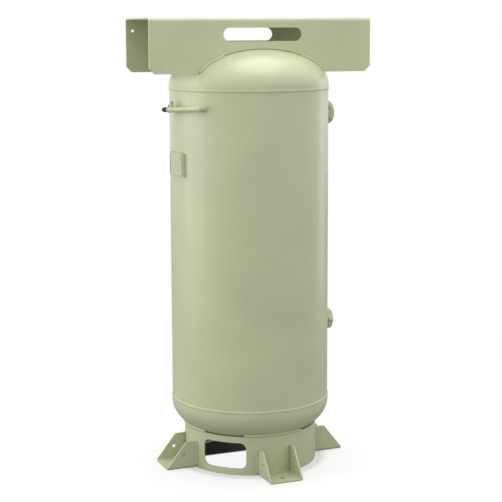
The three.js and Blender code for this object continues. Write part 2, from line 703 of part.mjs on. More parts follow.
add("data_plate_bracket", dataPlateBracket());
add("data_plate", dataPlate());
rivetPlaces.forEach((place, i) => add("data_plate_rivet_" + (i + 1), rivet(place)));
add("drain_coupling", drainCoupling());
add("drain_cock_body", drainCockBody(), BRASS);
add("drain_cock_key", drainCockKey(), BRASS);
add("drain_cock_nut", drainCockNut(), BRASS);

export default receiver;
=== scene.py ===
"""The looks of a vertical air receiver tank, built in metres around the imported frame.

Every piece stands for a node of the frame, or is a weld between two of them. The front is -Y, the
two big ports are on +X, and angles around the tank are in degrees from the front, positive
towards +X. Lengths below are metres unless a name says otherwise.
"""

import math
import random

import bmesh
import bpy
from mathutils import Matrix, Vector, noise


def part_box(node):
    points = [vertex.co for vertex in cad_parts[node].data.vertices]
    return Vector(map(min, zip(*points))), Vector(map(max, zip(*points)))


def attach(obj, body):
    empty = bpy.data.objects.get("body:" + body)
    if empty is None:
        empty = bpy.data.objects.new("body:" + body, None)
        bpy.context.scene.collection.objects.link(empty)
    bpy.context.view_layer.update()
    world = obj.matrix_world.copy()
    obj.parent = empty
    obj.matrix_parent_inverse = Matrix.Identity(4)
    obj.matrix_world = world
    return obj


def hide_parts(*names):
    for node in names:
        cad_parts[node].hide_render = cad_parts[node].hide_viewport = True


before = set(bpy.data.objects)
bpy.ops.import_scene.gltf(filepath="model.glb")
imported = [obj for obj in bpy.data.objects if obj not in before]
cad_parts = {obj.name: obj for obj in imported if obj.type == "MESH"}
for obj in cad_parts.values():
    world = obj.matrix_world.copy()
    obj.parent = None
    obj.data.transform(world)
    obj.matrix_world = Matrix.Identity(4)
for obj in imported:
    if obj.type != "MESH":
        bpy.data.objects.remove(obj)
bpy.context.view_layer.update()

MM = 0.001
SEED = 83


def low(node):
    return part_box(node)[0]


def high(node):
    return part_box(node)[1]


def middle(node):
    return (low(node) + high(node)) / 2


# ---- sizes, read from the frame where it holds them

TANK_RADIUS = high("shell").x
BOTTOM_SEAM_Z = low("shell").z
TOP_SEAM_Z = high("shell").z
HEAD_FLANGE = 14 * MM
HEAD_DEPTH = high("top_head").z - TOP_SEAM_Z - HEAD_FLANGE
WALL = 4 * MM
HEAD_SHEET = 4.5 * MM
HEAD_PROUD = 1.5 * MM  # a head stands this far outside the shell
TOP_BEAD_RISE = 3 * MM  # the bead of the upper girth seam lies this far above the seam

RING_RADIUS = high("base_ring").x
RING_TOP_Z = high("base_ring").z
RING_WALL = 5 * MM
WINDOW_LOW_Z = 21.4 * MM
WINDOW_HIGH_Z = 105 * MM
WINDOW_WIDTH = 145 * MM
WINDOW_CORNER = 20 * MM
WINDOW_ANGLES = (-45, 135)
RING_SEAM_ANGLE = 168

FOOT_REACH = high("foot_right").x
FOOT_HEIGHT = high("foot_right").z
FOOT_WIDTH = high("foot_right").y - low("foot_right").y
FOOT_FLAT_END = 243 * MM
FOOT_SHEET = 5 * MM
FOOT_BEND = 9 * MM
FOOT_ANGLES = {"front": 0, "right": 90, "rear": 180, "left": 270}
GUSSET_HOLE_RADIUS = 5.5 * MM
GUSSET_HOLE_REACH = 249 * MM  # from the tank's axis, as every reach is
GUSSET_HOLE_Z = 45 * MM
ANCHOR_HOLE_RADIUS = 7 * MM
ANCHOR_HOLE_REACH = 270 * MM

PLATFORM_HALF_LENGTH = high("platform").x
PLATFORM_HALF_DEPTH = high("platform").y
PLATFORM_TOP_Z = high("platform").z
PLATFORM_LOW_Z = low("platform").z
PLATFORM_SHEET = 5 * MM
PLATFORM_BEND = 12 * MM
PLATFORM_CHAMFER = 18 * MM
GRIP_LENGTH = 261 * MM
GRIP_HEIGHT = 41.6 * MM
GRIP_Z = 1382.2 * MM
GUARD_HOLE_RADIUS = 4.5 * MM
GUARD_HOLE_X = 348 * MM
GUARD_HOLE_Z = 1394 * MM
MACHINE_X = 190 * MM  # the pump's holes are centred at -X and the motor's slots at +X
HOLES_Y = 70 * MM
PUMP_HOLE_RADIUS = 6.5 * MM
PUMP_HOLES_X = 75 * MM  # to each side of the pump's middle
SLOT_LENGTH = 60 * MM
SLOT_WIDTH = 11 * MM
SLOTS_X = 65 * MM  # to each side of the motor's middle
SADDLE_WELD_FROM = 128 * MM
SADDLE_WELD_TO = 209 * MM

PLUG_ACROSS_FLATS = high("upper_port_plug").y - low("upper_port_plug").y
COUPLING_RADIUS = high("upper_port_coupling").y
COUPLING_FACE_X = high("upper_port_coupling").x
COUPLING_BORE = 28.6 * MM  # a radius
PLUG_GAP = 0.3 * MM

MANIFOLD_ANGLE = -68.3
MANIFOLD_DISTANCE = 266 * MM
MANIFOLD_Z = 1156 * MM
MANIFOLD_FALL = 3  # degrees, down towards the capped end
PIPE_RADIUS = 8.6 * MM
PIPE_FROM = -58 * MM
PIPE_TO = 52 * MM
FITTING_RADIUS = 10.4 * MM
STUB_RADIUS = 9 * MM
ELBOW_AT = 64 * MM
TEE_AT = -68 * MM
TEE_FROM = -83 * MM
TOP_PORT_RADIUS = 6.6 * MM
TOP_PORT_HEIGHT = 19 * MM
VENT_OFFSET = -10.5 * MM
END_CAP_LENGTH = 24 * MM

PLATE_ANGLE = -83.5
PLATE_Z = middle("data_plate").z
PLATE_WIDTH = 92 * MM
PLATE_HEIGHT = high("data_plate").z - low("data_plate").z
BRACKET_WIDTH = 96 * MM
BRACKET_HEIGHT = high("data_plate_bracket").z - low("data_plate_bracket").z
BRACKET_BACK = 256.5 * MM  # from the tank's axis
BRACKET_SHEET = 2 * MM
PLATE_SHEET = 1.2 * MM
PLATE_FACE = BRACKET_BACK + BRACKET_SHEET + 0.2 * MM + PLATE_SHEET  # 0.2 mm is the gap behind it

DRAIN_BORE = 10.5 * MM  # a radius
DRAIN_KEY_Z = middle("drain_cock_nut").z


# ---- places and outlines


def facing(angle, radius=0.0, z=0.0):
    """A place on the tank: local X is level, local Y is up and local Z points away from the axis."""
    turn = math.radians(angle)
    out = Vector((math.sin(turn), -math.cos(turn), 0))
    across = Vector((math.cos(turn), math.sin(turn), 0))
    place = Matrix((across, (0, 0, 1), out)).transposed().to_4x4()
    place.translation = out * radius + up(z)
    return place


def up(height):
    return Vector((0, 0, height))


def turned(axis, degrees=90):
    return Matrix.Rotation(math.radians(degrees), 4, axis)


def at(x, y, z):
    return Matrix.Translation((x, y, z))


ALONG_X = turned("Y")  # turns local Z to X
ALONG_Y = turned("X", -90)  # turns local Z to Y
TO_THE_FRONT = turned("X")  # turns local Z to -Y


def manifold_place(along=0.0):
    place = facing(MANIFOLD_ANGLE, MANIFOLD_DISTANCE, MANIFOLD_Z)
    return place @ turned("Z", MANIFOLD_FALL) @ at(along, 0, 0)


def arc(x, y, radius, start, end, steps=8):
    """Points of an arc, with its angles in degrees."""
    turns = [math.radians(start + (end - start) * i / steps) for i in range(steps + 1)]
    return [(x + radius * math.cos(t), y + radius * math.sin(t)) for t in turns]


def rounded_rectangle(width, height, corner, steps=8):
    x, y = width / 2 - corner, height / 2 - corner
    outline = []
    for start, u, v in ((0, x, y), (90, -x, y), (180, -x, -y), (270, x, -y)):
        outline += arc(u, v, corner, start, start + 90, steps)
    return outline


def channel_section(half, sheet, bend, leg_end, top, inner_steps, outer_steps):
    """A sheet bent down at both sides: a flat top between two legs, half to each side."""
    inner, inside = half - sheet, bend - sheet
    x, y = half - bend, top - bend
    return (
        [(-half, leg_end), (-inner, leg_end)]
        + arc(-x, y, inside, 180, 90, inner_steps)
        + arc(x, y, inside, 90, 0, inner_steps)
        + [(inner, leg_end), (half, leg_end)]
        + arc(x, y, bend, 0, 90, outer_steps)
        + arc(-x, y, bend, 90, 180, outer_steps)
    )


def head_height(radius):
    """How far the ellipse of a head stands out from its flange at a distance from the axis."""
    share = min(1.0, radius / (TANK_RADIUS + HEAD_PROUD))
    return HEAD_DEPTH * math.sqrt(1 - share * share)


def top_head_z(x, y):
    return TOP_SEAM_Z + HEAD_FLANGE + head_height(math.hypot(x, y))


# ---- meshes


def mesh_piece(name, points, faces):
    mesh = bpy.data.meshes.new(name)
    mesh.from_pydata([tuple(p) for p in points], [], faces)
    work = bmesh.new()
    work.from_mesh(mesh)
    bmesh.ops.recalc_face_normals(work, faces=work.faces)
    work.to_mesh(mesh)
    work.free()
    piece = bpy.data.objects.new(name, mesh)
    bpy.context.scene.collection.objects.link(piece)
    return piece


def revolve(name, profile, sides=64):
    """A profile of (radius, z) points turned about Z. It starts and ends on the axis, or closes."""
    points, rings = [], []
    for radius, z in profile:
        count = sides if radius > 1e-7 else 1
        rings.append([len(points) + i for i in range(count)])
        for i in range(count):
            turn = 2 * math.pi * i / sides
            points.append((radius * math.sin(turn), -radius * math.cos(turn), z))
    pairs = list(zip(rings, rings[1:]))
    if len(rings[0]) > 1:
        pairs.append((rings[-1], rings[0]))
    faces = []
    for first, second in pairs:
        for i in range(sides):
            corners = [first[i % len(first)], first[(i + 1) % len(first)]]
            corners += [second[(i + 1) % len(second)], second[i % len(second)]]
            faces.append(list(dict.fromkeys(corners)))
    return mesh_piece(name, points, faces)


def bar(name, radius, start, end, sides=48, edge=0.0):
    """A round bar along local Z, with chamfered ends where edge is given."""
    profile = [(0, start), (radius - edge, start), (radius, start + edge)]
    profile += [(radius, end - edge), (radius - edge, end), (0, end)]
    return revolve(name, list(dict.fromkeys(profile)), sides)


def prism(name, outline, start, end):
    """An outline of (x, y) points carried along local Z."""
    count = len(outline)
    points = [(x, y, z) for z in (start, end) for x, y in outline]
    sides = [(i, (i + 1) % count, (i + 1) % count + count, i + count) for i in range(count)]
    caps = [tuple(range(count - 1, -1, -1)), tuple(range(count, 2 * count))]
    return mesh_piece(name, points, sides + caps)


def tube_faces(count, sides, closed=True):
    """The faces between neighbouring rings of points, closed into a loop or with an end on each."""
    faces = []
    for i in range(count if closed else count - 1):
        here, there = i * sides, (i + 1) % count * sides
        for j in range(sides):
            k = (j + 1) % sides
            faces.append((here + j, here + k, there + k, there + j))
    if not closed:
        faces.append(tuple(range(sides)))
        faces.append(tuple(range((count - 1) * sides, count * sides)))
    return faces


def bored_profile(bore, outer, back, face, edge):
    """The section of a bored boss between two levels, with its face chamfered in and out."""
    rim = face - edge if face > back else face + edge
    chamfers = [(outer, rim), (outer - edge, face), (bore + edge, face), (bore, rim)]
    return [(bore, back), (outer, back)] + chamfers


def hexagon(across_flats, point_up=True):
    corner = across_flats / math.sqrt(3)
    first = 90 if point_up else 60
    return arc(0, 0, corner, first, first + 300, 5)


def hex_bar(name, across_flats, start, end, point_up=True, chamfered_low=False):
    """A hexagonal bar whose corners are turned off at its outer end, as on a nut or plug."""
    body = prism(name, hexagon(across_flats, point_up), start, end)
    flat, corner = across_flats * 0.475, across_flats * 0.59
    slope = (corner - flat) * math.tan(math.radians(30))
    profile = [(0, end), (flat, end), (corner, end - slope)]
    if chamfered_low:
        profile += [(corner, start + slope), (flat, start), (0, start)]
    else:
        profile += [(corner, start - MM), (0, start - MM)]
    return boolean(body, "INTERSECT", revolve(name + "_cone", profile, 96))


def moved(piece, place):
    piece.data.transform(place)
    return piece


def bake(piece):
    """Turns a piece and its modifiers into a plain mesh."""
    graph = bpy.context.evaluated_depsgraph_get()
    mesh = bpy.data.meshes.new_from_object(piece.evaluated_get(graph))
    piece.modifiers.clear()
    piece.data = mesh
    return piece


def boolean(piece, operation, *tools):
    for tool in tools:
        step = piece.modifiers.new("step", "BOOLEAN")
        step.operation = operation
        step.solver = "EXACT"
        step.object = tool
        bake(piece)
        bpy.data.objects.remove(tool)
    return piece


def cut(piece, *tools):
    return boolean(piece, "DIFFERENCE", *tools)


def join_solid(piece, *others):
    return boolean(piece, "UNION", *others)


def join_loose(piece, *others):
    """Puts separate closed bodies into one piece."""
    work = bmesh.new()
    for each in (piece, *others):
        work.from_mesh(each.data)
    work.to_mesh(piece.data)
    work.free()
    for each in others:
        bpy.data.objects.remove(each)
    return piece


def soften(piece, width, segments=2):
    """Rounds the edges that a boolean or an extrusion leaves sharp."""
    clean = bmesh.new()
    clean.from_mesh(piece.data)
    bmesh.ops.remove_doubles(clean, verts=clean.verts, dist=2e-6)
    bmesh.ops.dissolve_degenerate(clean, edges=clean.edges, dist=2e-6)
    clean.to_mesh(piece.data)
    clean.free()
    bevel = piece.modifiers.new("bevel", "BEVEL")
    bevel.width = width
    bevel.segments = segments
    bevel.limit_method = "ANGLE"
    bevel.angle_limit = math.radians(34)
    bevel.miter_outer = "MITER_ARC"
    return bake(piece)


def smooth(piece):
    for face in piece.data.polygons:
        face.use_smooth = True
    piece.data.set_sharp_from_angle(angle=math.radians(38))
    weighted = piece.modifiers.new("normals", "WEIGHTED_NORMAL")
    weighted.keep_sharp = True
    return bake(piece)


def settle(piece, material, slot, *nodes, body="tank"):
    """Finishes a piece: its shading, its material, the body it rides on and what it stands for."""
    smooth(piece)
    piece.data.materials.clear()
    piece.data.materials.append(material)
    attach(piece, body)
    if nodes:
        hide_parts(*nodes)


# ---- node materials


class Nodes:
    """A short way to write a node tree."""

    def __init__(self, tree):
        self.tree = tree

    def add(self, kind, settings=None, **inputs):
        node = self.tree.nodes.new(kind)
        for key, value in (settings or {}).items():
            setattr(node, key, value)
        for key, value in inputs.items():
            self.put(node.inputs[key.replace("_", " ")], value)
        return node

    def put(self, socket, value):
        if isinstance(value, bpy.types.NodeSocket):
            self.tree.links.new(value, socket)
        else:
            socket.default_value = value

    def noise(self, place, scale, detail=3.0):
        node = self.add("ShaderNodeTexNoise", Scale=scale, Detail=detail, Roughness=0.55)
        self.put(node.inputs["Vector"], place)
        return node.outputs["Fac"]

    def remap(self, value, low_in, high_in, low_out, high_out):
        node = self.add("ShaderNodeMapRange")
        numbers = (value, low_in, high_in, low_out, high_out)
        for socket, number in zip(node.inputs, numbers):
            self.put(socket, number)
        return node.outputs["Result"]

    def math(self, operation, first, second=0.0):
        node = self.add("ShaderNodeMath", {"operation": operation})
        self.put(node.inputs[0], first)
        self.put(node.inputs[1], second)
        return node.outputs[0]

    def mix(self, share, first, second, blend="MIX"):
        node = self.add("ShaderNodeMix", {"data_type": "RGBA", "blend_type": blend})
        self.put(node.inputs["Factor"], share)
        self.put(node.inputs[6], first)
        self.put(node.inputs[7], second)
        return node.outputs[2]

    def mix_shader(self, share, first, second):
        node = self.add("ShaderNodeMixShader", Fac=share)
        self.put(node.inputs[1], first)
        self.put(node.inputs[2], second)
        return node.outputs["Shader"]

    def edges(self, radius):
        """1 on an edge sharper than the radius, and 0 on an open face."""
        rounded = self.add("ShaderNodeBevel", {"samples": 4}, Radius=radius)
        plain = self.add("ShaderNodeNewGeometry")
        spread = self.add("ShaderNodeVectorMath", {"operation": "DOT_PRODUCT"})
        self.put(spread.inputs[0], rounded.outputs["Normal"])
        self.put(spread.inputs[1], plain.outputs["Normal"])
        return self.remap(spread.outputs["Value"], 0.985, 0.82, 0.0, 1.0)

    def corners(self, distance):
        """0 in the open, rising towards 1 deep in a corner."""
        node = self.add("ShaderNodeAmbientOcclusion", {"samples": 4}, Distance=distance)
        return self.remap(node.outputs["AO"], 0.75, 0.25, 0.0, 1.0)

    def bump(self, height, strength, distance, normal=None):
        node = self.add("ShaderNodeBump", Strength=strength, Distance=distance, Height=height)
        if normal is not None:
            self.put(node.inputs["Normal"], normal)
        return node.outputs["Normal"]


def new_material(name):
    material = bpy.data.materials.new(name)
    material.use_nodes = True
    nodes = Nodes(material.node_tree)
    shader = material.node_tree.nodes["Principled BSDF"]
    place = nodes.add("ShaderNodeTexCoord").outputs["Object"]
    return material, nodes, shader, place


def shade(color, factor):
    return (color[0] * factor, color[1] * factor, color[2] * factor, 1)


PAINT_COLOR = (0.503, 0.535, 0.338)
# The pale colour painted on edges: a painted highlight, with some wear.
EDGE_HIGHLIGHT_AND_WEAR_COLOR = (0.66, 0.69, 0.52, 1)
DUST_COLOR = (0.62, 0.62, 0.50, 1)


def paint(name, roughness=0.36, peel=1.0, grime=1.0, edge_highlight_and_wear=1.0, shade_and_dirt_reach=9 * MM, shade_and_dirt_share=0.45):
    """Satin enamel on steel: faint clouding, orange peel, edges painted pale (painted highlight and
    wear), corners painted dark (painted shade and dirt), dust on top.
    """
    material, nodes, shader, place = new_material(name)
    geometry = nodes.add("ShaderNodeNewGeometry")

    clouds = nodes.remap(nodes.noise(place, 5.0, 4.0), 0.3, 0.7, 0.0, 1.0)
    color = nodes.mix(clouds, shade(PAINT_COLOR, 0.955), shade(PAINT_COLOR, 1.04))
    mottle = nodes.remap(nodes.noise(place, 85.0, 3.0), 0.35, 0.7, 0.0, 0.10 * grime)
    color = nodes.mix(mottle, color, shade(PAINT_COLOR, 0.72))

    # Edges are painted paler: a painted highlight along every edge, with some wear where the paint
    # pulls thin.
    breakup = nodes.remap(nodes.noise(place, 40.0, 4.0), 0.4, 0.62, 0.15, 0.55)
    edge_highlight_and_wear_mask = nodes.math("MULTIPLY", nodes.edges(1.6 * MM), breakup)
    edge_highlight_and_wear_mask = nodes.math("MULTIPLY", edge_highlight_and_wear_mask, edge_highlight_and_wear)
    color = nodes.mix(edge_highlight_and_wear_mask, color, EDGE_HIGHLIGHT_AND_WEAR_COLOR)
    # Corners are painted darker from ambient occlusion: painted shade, with some dirt that collects
    # there.
    shade_and_dirt = nodes.math("MULTIPLY", nodes.corners(shade_and_dirt_reach), shade_and_dirt_share)
    color = nodes.mix(shade_and_dirt, color, shade(PAINT_COLOR, 0.42))

    # A film of pale dust settles where a face looks up.
    upright = nodes.add("ShaderNodeSeparateXYZ", Vector=geometry.outputs["Normal"]).outputs["Z"]
    level = nodes.remap(upright, 0.45, 1.0, 0.0, 1.0)
    patches = nodes.remap(nodes.noise(place, 14.0, 5.0), 0.35, 0.75, 0.05, 0.32)
    dust = nodes.math("MULTIPLY", level, patches)
    color = nodes.mix(dust, color, DUST_COLOR)
    nodes.put(shader.inputs["Base Color"], color)

    streaks = nodes.noise(place, 28.0, 4.0)
    rough = nodes.remap(streaks, 0.3, 0.7, roughness - 0.045, roughness + 0.06)
    rough = nodes.math("ADD", rough, nodes.math("MULTIPLY", dust, 0.35))
    nodes.put(shader.inputs["Roughness"], rough)

    orange_peel = nodes.noise(place, 420.0, 2.0)
    normal = nodes.bump(orange_peel, 0.10 * peel, 0.5 * MM)
    ripples = nodes.noise(place, 11.0, 1.0)
    normal = nodes.bump(ripples, 0.10, 3 * MM, normal)
    nodes.put(shader.inputs["Normal"], normal)
    shader.inputs["Coat Weight"].default_value = 0.12
    shader.inputs["Coat Roughness"].default_value = 0.16
    return material


def black_plastic():
    """Moulded black plastic with a fine grain and scuffed edges."""
    material, nodes, shader, place = new_material("black_plastic")
    tone = nodes.remap(nodes.noise(place, 220.0, 3.0), 0.3, 0.7, 0.0, 1.0)
    color = nodes.mix(tone, (0.005, 0.005, 0.005, 1), (0.012, 0.012, 0.0115, 1))
    scuffs = nodes.math("MULTIPLY", nodes.edges(0.5 * MM), 0.5)
    color = nodes.mix(scuffs, color, (0.045, 0.045, 0.043, 1))
    nodes.put(shader.inputs["Base Color"], color)
    nodes.put(shader.inputs["Roughness"], nodes.remap(tone, 0.0, 1.0, 0.42, 0.56))
    shader.inputs["Specular IOR Level"].default_value = 0.25
    nodes.put(shader.inputs["Normal"], nodes.bump(nodes.noise(place, 1500.0), 0.15, 0.2 * MM))
    return material


def brass():
    """Machined brass, dulled and browned where hands don't polish it."""
    material, nodes, shader, place = new_material("brass")
    tarnish = nodes.remap(nodes.noise(place, 120.0, 5.0), 0.35, 0.7, 0.0, 0.75)
    color = nodes.mix(tarnish, (0.66, 0.46, 0.19, 1), (0.33, 0.22, 0.10, 1))
    polished = nodes.math("MULTIPLY", nodes.edges(0.8 * MM), 0.7)
    color = nodes.mix(polished, color, (0.80, 0.60, 0.30, 1))
    nodes.put(shader.inputs["Base Color"], color)
    nodes.put(shader.inputs["Roughness"], nodes.remap(tarnish, 0.0, 0.75, 0.24, 0.48))
    turned = nodes.bump(nodes.noise(place, 1300.0, 2.0), 0.12, 0.2 * MM)
    nodes.put(shader.inputs["Normal"], turned)
    shader.inputs["Metallic"].default_value = 1.0
    return material


PAINT = paint("enamel")
# Welds get little of the painted edge highlight.
WELD_PAINT = paint("enamel_on_weld", roughness=0.42, peel=1.6, grime=1.5, edge_highlight_and_wear=0.25)
# On the plate, the painted shade in corners and the painted highlight on edges are at their strongest.
PLATE_PAINT = paint("enamel_on_plate", grime=1.4, edge_highlight_and_wear=1.6, shade_and_dirt_reach=3.5 * MM, shade_and_dirt_share=1.0)
BLACK = black_plastic()
BRASS = brass()


def settle_painted(piece, node):
    settle(piece, PAINT, "paint", node)


# ---- welds


def weld_bead(name, path, radius, closed=False, reference=None, pitch=3.6 * MM, seed=0):
    """A laid bead: overlapping crescent ripples along a path, with round ends unless it closes."""
    sides = 12
    count = len(path)
    lengths = [0.0]
    for first, second in zip(path, path[1:]):
        lengths.append(lengths[-1] + (second - first).length)
    total = lengths[-1] + ((path[0] - path[-1]).length if closed else 0.0)
    pitch = total / max(1, round(total / pitch))
    points = []
    for i, point in enumerate(path):
        before = path[i - 1] if i or closed else point
        after = path[(i + 1) % count] if i < count - 1 or closed else point
        tangent = (after - before).normalized()
        hint = reference or Vector((point.x, point.y, 0))
        side = tangent.cross(hint).normalized()
        out = side.cross(tangent)
        end = min(lengths[i], total - lengths[i]) if not closed else radius
        swell = math.sqrt(max(0.03, 1 - (1 - min(1.0, end / radius)) ** 2))
        wobble = 1 + 0.10 * noise.noise(Vector((lengths[i] * 90, seed, 0)))
        for j in range(sides):
            turn = 2 * math.pi * j / sides
            bowed = lengths[i] + 0.45 * radius * math.cos(turn)
            ripple = 1 + 0.055 * math.cos(2 * math.pi * bowed / pitch)
            reach = radius * swell * wobble * ripple
            points.append(point + (out * math.cos(turn) + side * math.sin(turn)) * reach)
    return mesh_piece(name, points, tube_faces(count, sides, closed))


def path_steps(length, step=0.9 * MM):
    return max(8, round(length / step))


def arc_path(radius, z, start, end):
    """Points on a level circle about the axis, between two angles from the front."""
    steps = path_steps(abs(math.radians(end - start)) * radius)
    turns = [math.radians(start + (end - start) * i / steps) for i in range(steps + 1)]
    return [Vector((radius * math.sin(t), -radius * math.cos(t), z)) for t in turns]


def straight_path(first, second):
    steps = path_steps((second - first).length)
    return [first.lerp(second, i / steps) for i in range(steps + 1)]


def saddle_path(place, radius):
    """Where a round stub along local Z meets the shell."""
    steps = path_steps(2 * math.pi * radius)
    path = []
    for i in range(steps):
        turn = 2 * math.pi * i / steps
        start = place @ Vector((radius * math.cos(turn), radius * math.sin(turn), 0))
        out = place.to_3x3() @ up(1)
        # The distance along the stub's axis at which a line through start meets the cylinder.
        a = out.x**2 + out.y**2
        b = start.x * out.x + start.y * out.y
        c = start.x**2 + start.y**2 - TANK_RADIUS**2
        path.append(start + out * ((-b + math.sqrt(b * b - a * c)) / a))
    return path


def lay_weld(name, path, radius, **details):
    """Lays a bead that stands for no node of the frame."""
    settle(weld_bead(name, path, radius, **details), WELD_PAINT, "paint")


# ---- the pressure vessel


def rolled_shell():
    """The shell, with the faint flats that rolling leaves."""
    steps = 50
    inner, outer = TANK_RADIUS - WALL, TANK_RADIUS
    heights = [BOTTOM_SEAM_Z + (TOP_SEAM_Z - BOTTOM_SEAM_Z) * i / steps for i in range(steps + 1)]
    profile = [(outer, z) for z in heights] + [(inner, z) for z in reversed(heights)]
    piece = revolve("rolled_shell", profile, 224)
    for vertex in piece.data.vertices:
        direction = Vector((vertex.co.x, vertex.co.y, 0)).normalized()
        waves = noise.noise(Vector((direction.x * 3.1, direction.y * 3.1, vertex.co.z * 1.6)))
        vertex.co += direction * waves * 0.22 * MM
    settle_painted(piece, "shell")


def dished_head(name, node, seam_z, way):
    """A head with its seam at seam_z: straight flange, ellipse, and a rim necked into the shell."""
    steps = 36
    radius = TANK_RADIUS + HEAD_PROUD
    turns = [math.pi / 2 * i / steps for i in range(steps + 1)]
    outer = [(radius * math.cos(t), HEAD_FLANGE + HEAD_DEPTH * math.sin(t)) for t in turns]
    inner = [(r * 0.98, z - HEAD_SHEET) for r, z in outer]
    outer[-1] = (0, outer[-1][1])
    inner[-1] = (0, inner[-1][1])
    rim = [
        (TANK_RADIUS - 2 * WALL, -12 * MM),
        (TANK_RADIUS - WALL - 0.3 * MM, -12 * MM),
        (TANK_RADIUS - WALL, 1.5 * MM),
        (radius - 1.2 * MM, 2 * MM),
        (radius, 3.4 * MM),
    ]
    profile = inner[::-1] + rim + outer
    piece = revolve(name, [(r, seam_z + z * way) for r, z in profile], 224)
    settle_painted(piece, node)


def girth_bead(name, node, seam_z):
    """The bead of a girth seam, low and wide, with fine ripples round the tank."""
    sides, steps = 14, 1400
    ripples = steps // 4
    bead_rise, bead_half_height = 2.3 * MM, 5.2 * MM
    points = []
    for i in range(steps):
        turn = 2 * math.pi * i / steps
        direction = Vector((math.sin(turn), -math.cos(turn), 0))
        wander = 0.5 * MM * noise.noise(direction * 6 + up(seam_z))
        for j in range(sides):
            around = 2 * math.pi * j / sides
            bowed = turn * ripples + 1.1 * math.cos(around)
            ripple = 1 + 0.05 * math.cos(bowed)
            rise = bead_rise * math.cos(around) * ripple
            height = bead_half_height * math.sin(around)
            points.append(direction * (TANK_RADIUS + rise) + up(seam_z + height + wander))
    settle(mesh_piece(name, points, tube_faces(steps, sides)), WELD_PAINT, "paint", node)


def long_seam_bead():
    """The bead of the shell's own seam, between the two girth beads."""
    place = middle("long_seam_weld")
    out = Vector((place.x, place.y, 0)).normalized() * TANK_RADIUS
    start = out + up(BOTTOM_SEAM_Z + 5 * MM)
    end = out + up(TOP_SEAM_Z - 3 * MM)
    bead = weld_bead("long_seam_bead", straight_path(start, end), 3.4 * MM, seed=3)
    settle(bead, WELD_PAINT, "paint", "long_seam_weld")


# ---- the base ring and its feet


def skirt_ring():
    """The ring, with a rounded window at each window angle."""
    inner = RING_RADIUS - RING_WALL
    top = RING_TOP_Z - 2.5 * MM  # the stitches close the gap to the head
    profile = [(inner, 0), (RING_RADIUS, 0), (RING_RADIUS, top), (inner, top)]
    ring = revolve("skirt_ring", profile, 192)
    outline = rounded_rectangle(WINDOW_WIDTH, WINDOW_HIGH_Z - WINDOW_LOW_Z, WINDOW_CORNER, 10)
    level = (WINDOW_LOW_Z + WINDOW_HIGH_Z) / 2
    for angle in WINDOW_ANGLES:
        window = prism("window", outline, 150 * MM, 260 * MM)
        cut(ring, moved(window, facing(angle, 0, level)))
    settle_painted(soften(ring, 0.7 * MM), "base_ring")


def skirt_seam_bead():
    """The bead of the ring's own seam."""
    seam = facing(RING_SEAM_ANGLE, RING_RADIUS).translation
    path = straight_path(seam + up(2 * MM), seam + up(RING_TOP_Z - MM))
    lay_weld("skirt_seam_bead", path, 2.6 * MM, seed=5)


def skirt_welds():
    """Four stitches, one above each foot, that join the ring to the lower head."""
    half_width = 27  # degrees
    radius, z = RING_RADIUS + 0.6 * MM, RING_TOP_Z + 2.2 * MM
    for side, angle in FOOT_ANGLES.items():
        path = arc_path(radius, z, angle - half_width, angle + half_width)
        lay_weld("skirt_weld_" + side, path, 4.6 * MM, seed=angle)


def bent_foot(side, angle):
    """A foot pressed from one sheet: a base with two sloping gussets, cut to the ring's curve."""
    half = FOOT_WIDTH / 2
    inner = half - FOOT_SHEET
    bend = FOOT_BEND
    inside = bend - FOOT_SHEET
    section = (
        [(-half, FOOT_HEIGHT)]
        + arc(-half + bend, bend, bend, 180, 270)
        + arc(half - bend, bend, bend, 270, 360)
        + [(half, FOOT_HEIGHT), (inner, FOOT_HEIGHT)]
        + arc(inner - inside, bend, inside, 0, -90)
        + arc(-inner + inside, bend, inside, -90, -180)
        + [(-inner, FOOT_HEIGHT)]
    )
    start = 150 * MM  # inside the ring, until the foot is cut back to it
    foot = prism("bent_foot_" + side, section, start, FOOT_REACH)
    outline = [
        (start - MM, -MM),
        (FOOT_REACH + MM, -MM),
        (FOOT_REACH + MM, FOOT_SHEET + 2 * MM),
        (FOOT_FLAT_END, FOOT_HEIGHT),
        (start - MM, FOOT_HEIGHT),
    ]
    profile = prism("outline", [(y, -x) for x, y in outline], -FOOT_WIDTH, FOOT_WIDTH)
    # Local X is turned to Y, local Y to -Z and local Z to X.
    sideways = Matrix(((0, 0, 1, 0), (1, 0, 0, 0), (0, -1, 0, 0), (0, 0, 0, 1)))
    boolean(foot, "INTERSECT", moved(profile, sideways))
    gusset_hole = bar("hole", GUSSET_HOLE_RADIUS, -100 * MM, 100 * MM, 32)
    cut(foot, moved(gusset_hole, at(0, GUSSET_HOLE_Z, GUSSET_HOLE_REACH) @ ALONG_X))
    anchor_hole = bar("hole", ANCHOR_HOLE_RADIUS, -20 * MM, 20 * MM, 40)
    cut(foot, moved(anchor_hole, at(0, 0, ANCHOR_HOLE_REACH) @ ALONG_Y))
    moved(foot, facing(angle))
    cut(foot, bar("ring_space", RING_RADIUS + 0.2 * MM, -MM, FOOT_HEIGHT + MM, 384))
    settle_painted(soften(foot, 0.8 * MM), "foot_" + side)


